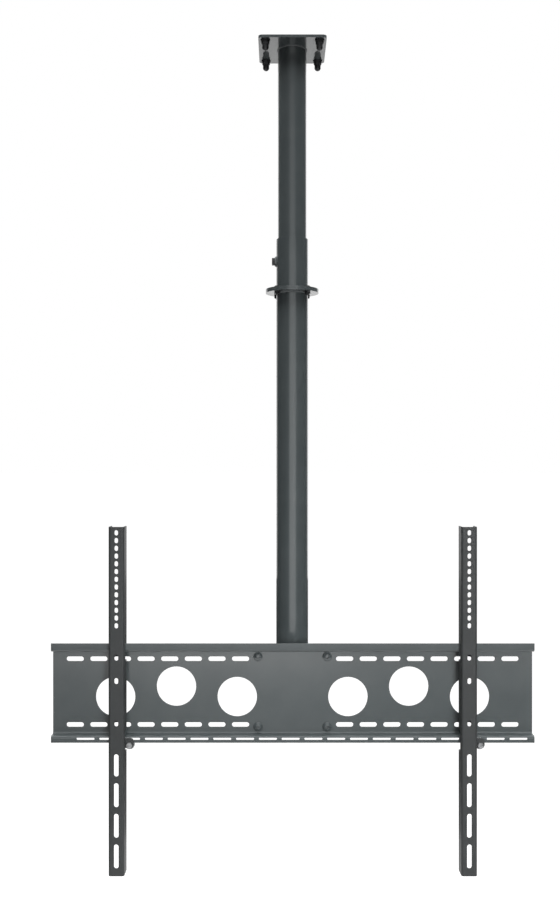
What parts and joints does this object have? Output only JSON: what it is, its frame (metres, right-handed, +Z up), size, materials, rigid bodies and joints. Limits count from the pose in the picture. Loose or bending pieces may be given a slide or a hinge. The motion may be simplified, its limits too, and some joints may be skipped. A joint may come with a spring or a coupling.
{
  "type": "tv ceiling mount",
  "caption": "Ceiling mount for a large screen: telescoping round pole with swivel flanges under a square plate, a tilting slotted rail and sliding upright channel arms.",
  "frame": {"origin": "middle of the ceiling plate's top face, on the pole's axis", "axes": "+Z up along the pole, the screen side faces -Y, +X to the right as seen from the screen side"},
  "size_m": [0.874, 0.165, 1.5259],
  "materials": {
    "dark_powder_coat": "fine satin powder coat, dark grey",
    "black_powder_coat": "fine matt powder coat, near black",
    "black_steel": "blackened steel, satin",
    "zinc_steel": "zinc-plated steel, satin",
    "black_plastic": "fine matt"
  },
  "bodies": {
    "ceiling_mount": {"ceiling_plate": "dark_powder_coat", "ceiling_washers": "black_steel", "ceiling_cap_nuts": "black_steel", "inner_tube": "dark_powder_coat"},
    "height_sleeve": {"sleeve_tube": "dark_powder_coat", "sleeve_flange": "dark_powder_coat", "lock_boss": "dark_powder_coat", "lock_bolt": "black_steel"},
    "lower_pole": {"lower_tube": "dark_powder_coat", "swivel_flange": "dark_powder_coat", "swivel_screws": "black_steel", "swivel_nuts": "black_steel", "tilt_bosses": "dark_powder_coat", "pivot_bolt": "black_steel", "pivot_nut": "black_steel", "tilt_lock_bolt": "black_steel", "tilt_lock_nut": "black_steel", "tilt_washers": "black_steel", "tube_end_cap": "black_plastic"},
    "screen_plate": {"rail_plate": "dark_powder_coat", "tilt_cradle": "dark_powder_coat", "cradle_bolts": "dark_powder_coat", "cradle_washers": "black_steel", "cradle_nuts": "black_steel"},
    "left_arm": {"left_arm_channel": "black_powder_coat", "left_lock_screw": "zinc_steel", "left_lock_washer": "zinc_steel", "left_lock_nut": "zinc_steel"},
    "right_arm": {"right_arm_channel": "black_powder_coat", "right_lock_screw": "zinc_steel", "right_lock_washer": "zinc_steel", "right_lock_nut": "zinc_steel"}
  },
  "joints": [
    {"name": "height_slide", "type": "slide", "parent": "ceiling_mount", "child": "height_sleeve", "axis": [0, 0, 1], "range_m": [-0.15, 0.3]},
    {"name": "swivel_turn", "type": "hinge", "parent": "height_sleeve", "child": "lower_pole", "pos_m": [0, 0, -0.461], "axis": [0, 0, 1], "range_deg": [-30, 30]},
    {"name": "tilt_turn", "type": "hinge", "parent": "lower_pole", "child": "screen_plate", "pos_m": [0, 0, -1.18515], "axis": [1, 0, 0], "range_deg": [-5, 15]},
    {"name": "left_arm_slide", "type": "slide", "parent": "screen_plate", "child": "left_arm", "axis": [1, 0, 0], "range_m": [-0.09, 0.2]},
    {"name": "right_arm_slide", "type": "slide", "parent": "screen_plate", "child": "right_arm", "axis": [1, 0, 0], "range_m": [-0.2, 0.085]}
  ]
}
